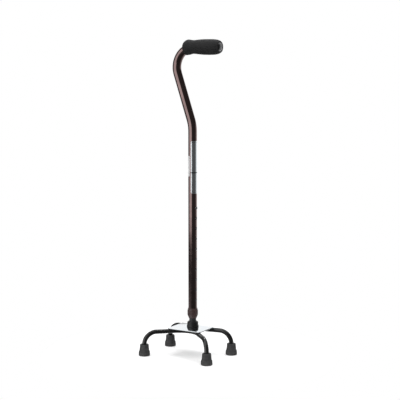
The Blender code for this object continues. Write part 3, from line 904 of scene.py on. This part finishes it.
def camera():
    """The scene's camera, at the photograph's viewing angle."""
    data = bpy.data.cameras.new("camera")
    data.lens = CAMERA_LENS
    data.sensor_width = CAMERA_SENSOR
    made = bpy.data.objects.new("camera", data)
    made.location = SHAFT + CAMERA_DISTANCE * TO_CAMERA + CAMERA_ASIDE * TO_RIGHT + CAMERA_HEIGHT * Z
    made.rotation_euler = (math.pi / 2 - CAMERA_PITCH, 0, CAMERA_AZIMUTH)
    bpy.context.scene.collection.objects.link(made)
    bpy.context.scene.camera = made


# The light from each band of elevations, by the angle in degrees round the object: 0 is on the camera's side,
# and plus is to its right
GROUND_LIGHT = [
    (-180, 0.2), (-135, 0.3), (-100, 0.4), (-60, 0.25), (-25, 0.06), (58, 0.06), (90, 0.2), (125, 0.8),
    (178, 0.8), (180, 0.2),
]
UNDER_LIGHT = [
    (-180, 0.15), (-100, 0.07), (-20, 0.07), (58, 0.07), (90, 0.15), (125, 0.8), (178, 0.8), (180, 0.15),
]
LOW_LIGHT = [
    (-180, 0.15), (-99, 0.15), (-91, 1.45), (-28, 1.45), (-20, 0.08), (58, 0.07), (80, 0.12), (95, 0.3),
    (112, 0.75), (125, 1.0), (178, 1.0), (180, 0.15),
]
MIDDLE_LIGHT = [
    (-180, 1.0), (-152, 1.0), (-146, 0.15), (-99, 0.15), (-91, 1.45), (-28, 1.45), (-20, 0.08), (100, 0.07),
    (140, 0.12), (150, 1.0), (180, 1.0),
]
OVERHEAD_LIGHT = (1.0, 1.0, 1.0)

# The elevations in degrees between which one band of light gives way to the next
GROUND_TO_UNDER = (-12.5, -10.3)
UNDER_TO_LOW = (-9.2, -8.1)
LOW_TO_MIDDLE = (5.0, 9.0)
MIDDLE_TO_OVERHEAD = (48.0, 60.0)


def studio_light():
    """A photographer's white tent: bright above and behind, dark on the camera's side, and with a bright
    panel on the left that ends low down."""
    world = bpy.data.worlds.new("studio")
    bpy.context.scene.world = world
    world.use_nodes = True
    nodes = Nodes(world.node_tree)
    background = nodes.tree.nodes["Background"]
    way = nodes.add("ShaderNodeTexCoord").outputs["Generated"]
    towards = nodes.add("ShaderNodeVectorMath", {0: way, 1: TO_CAMERA}, operation="DOT_PRODUCT")
    aside = nodes.add("ShaderNodeVectorMath", {0: way, 1: TO_RIGHT}, operation="DOT_PRODUCT")
    height = nodes.add("ShaderNodeSeparateXYZ", {"Vector": way}).outputs["Z"]
    turn = nodes.math("ARCTAN2", aside.outputs["Value"], towards.outputs["Value"])
    elevation = nodes.math("ARCSINE", height)
    whole_turn = {"Value": turn, "From Min": -math.pi, "From Max": math.pi, "To Min": 0.0, "To Max": 1.0}
    share = nodes.add("ShaderNodeMapRange", whole_turn).outputs["Result"]

    def ramp(stops):
        """The light of one band, by the angle round the object."""
        node = nodes.add("ShaderNodeValToRGB", {"Fac": share})
        elements = node.color_ramp.elements
        while len(elements) > 1:
            elements.remove(elements[-1])
        for index, (degrees, value) in enumerate(stops):
            element = elements[0] if index == 0 else elements.new((degrees + 180) / 360)
            element.position = (degrees + 180) / 360
            element.color = (value, value, value, 1.0)
        return node.outputs["Color"]

    def upward(limits, below, above):
        """The light below the first elevation and the light above the second, blended between the two."""
        low, high = (math.radians(limit) for limit in limits)
        return nodes.mix(nodes.remap(elevation, low, high, 0.0, 1.0), below, above)

    light = upward(GROUND_TO_UNDER, ramp(GROUND_LIGHT), ramp(UNDER_LIGHT))
    light = upward(UNDER_TO_LOW, light, ramp(LOW_LIGHT))
    light = upward(LOW_TO_MIDDLE, light, ramp(MIDDLE_LIGHT))
    light = upward(MIDDLE_TO_OVERHEAD, light, OVERHEAD_LIGHT)
    nodes.feed(background.inputs["Color"], light)
    nodes.feed(background.inputs["Strength"], 1.0)


# Each lamp's name, its angle round the object, its height above it and its width, in degrees, its power in
# watts, and whether the shiny parts show it
LAMPS = [
    ("top_lamp", 180.0, 83.0, 36.0, 19.0, False),
    ("back_lamp", 180.0, 60.0, 10.0, 5.0, True),
    ("fill_lamp", 38.0, 12.0, 14.0, 13.0, False),
]
LAMP_DISTANCE = 2.0


def lamps():
    """A wide lamp overhead for the faint shadows, a small one behind for glints, and a fill at the front."""
    for name, turn, rise, width, power, glint in LAMPS:
        data = bpy.data.lights.new(name, "AREA")
        data.shape = "DISK"
        data.size = 2 * LAMP_DISTANCE * math.tan(math.radians(width / 2))
        data.energy = power
        made = bpy.data.objects.new(name, data)
        level = TO_CAMERA * math.cos(math.radians(turn)) + TO_RIGHT * math.sin(math.radians(turn))
        way = level * math.cos(math.radians(rise)) + Z * math.sin(math.radians(rise))
        made.location = SHAFT + Z * GRIP_HEIGHT / 2 + way * LAMP_DISTANCE
        made.rotation_euler = way.to_track_quat("Z", "Y").to_euler()
        made.visible_glossy = glint
        bpy.context.scene.collection.objects.link(made)


# The floor's radius, how strongly it glows and how far it lies under the feet, and the white ball's radius
FLOOR_RADIUS = 0.36
FLOOR_GLOW = 0.32
FLOOR_DROP = 0.05 * MM
SURROUND_RADIUS = 8.0


def floor_and_backdrop():
    """A round white floor, clear when seen from below, inside a white ball that only the camera sees."""
    mesh = bmesh.new()
    bmesh.ops.create_circle(mesh, cap_ends=True, segments=96, radius=FLOOR_RADIUS)
    white = Surface("floor_white", (0.8, 0.8, 0.8), 0.9, Specular_IOR_Level=0.0,
                    Emission_Color=(1.0, 1.0, 1.0, 1.0), Emission_Strength=FLOOR_GLOW)
    from_below = white.add("ShaderNodeNewGeometry").outputs["Backfacing"]
    clear = white.add("ShaderNodeBsdfTransparent").outputs["BSDF"]
    pick = white.add("ShaderNodeMixShader", {0: from_below, 1: white.shader.outputs["BSDF"], 2: clear})
    white.show(pick.outputs["Shader"])
    floor = as_object("floor", mesh, white.material)
    floor.location.z = -FLOOR_DROP
    floor.visible_glossy = False

    mesh = bmesh.new()
    bmesh.ops.create_icosphere(mesh, subdivisions=4, radius=SURROUND_RADIUS)
    glow = bpy.data.materials.new("surround_white")
    glow.use_nodes = True
    nodes = Nodes(glow.node_tree)
    nodes.tree.nodes.remove(nodes.tree.nodes["Principled BSDF"])
    nodes.show(nodes.add("ShaderNodeEmission").outputs["Emission"])
    surround = as_object("surround", mesh, glow)
    for kind in ("diffuse", "glossy", "transmission", "volume_scatter", "shadow"):
        setattr(surround, f"visible_{kind}", False)


# ---------------------------------------------------------------- the cane

paint = bronze_paint()
aluminium = bare_metal("bare_aluminium", (0.62, 0.61, 0.6), 0.3)
satin_aluminium = bare_metal("satin_aluminium", (0.86, 0.87, 0.88), 0.5, metallic=0.25)
zinc = bare_metal("zinc_plate", (0.62, 0.63, 0.66), 0.24)
brown = collar_plastic()
satin_black = black_plastic()
dark_rubber = rubber()
white_nylon = nylon()
enamel = black_enamel()

upper_tube(paint, satin_aluminium)
hand_grip(foam())
end_plug(black_plastic("plug_plastic", 0.3))
front_foil = foil(low_z("front_label"), high_z("front_label"), divider=451.4 * MM)
label("front_sticker", "front_label", centre=0, half_angle=82, corner=4.0 * MM, finish=front_foil,
      slot="label_foil")
rear_paper = paper(low_z("rear_label"), high_z("rear_label"))
label("rear_sticker", "rear_label", centre=180, half_angle=80, corner=2.5 * MM, finish=rear_paper,
      slot="label_paper")
collet(brown)
collar(brown)
stem(stem_paint(), aluminium)
button(bare_metal("button_steel", (0.34, 0.34, 0.35), 0.36))
boot(satin_black)
plate(chrome())
leg("front_legs", "leg_tube_front", side=-1, apex_y=24.4 * MM, apex_bend=46.0 * MM, finish=enamel, bare=zinc)
leg("rear_legs", "leg_tube_rear", side=1, apex_y=43.0 * MM, apex_bend=190.0 * MM, finish=enamel, bare=zinc)
for place, (side_x, side_y) in PLACES.items():
    foot(place, side_x, side_y, dark_rubber)
    finish_node(f"foot_disc_{place}", zinc, edge=0.15 * MM)
finish_node("centre_bolt", zinc, edge=0.5 * MM)
finish_node("lock_washer", zinc, edge=0.2 * MM)
finish_node("stem_plug", zinc, edge=0.3 * MM)
finish_node("button_spring", bare_metal("spring_strip", (0.45, 0.45, 0.46), 0.35, stretch=(8.0, 1.0, 1.0)))
finish_node("clamp_ring", white_nylon, edge=0.3 * MM)
finish_node("glide_bushing", white_nylon, edge=0.2 * MM)
finish_node("wiper_ring", dark_rubber)

camera()
studio_light()
lamps()
floor_and_backdrop()
bpy.context.scene.view_settings.view_transform = "Standard"
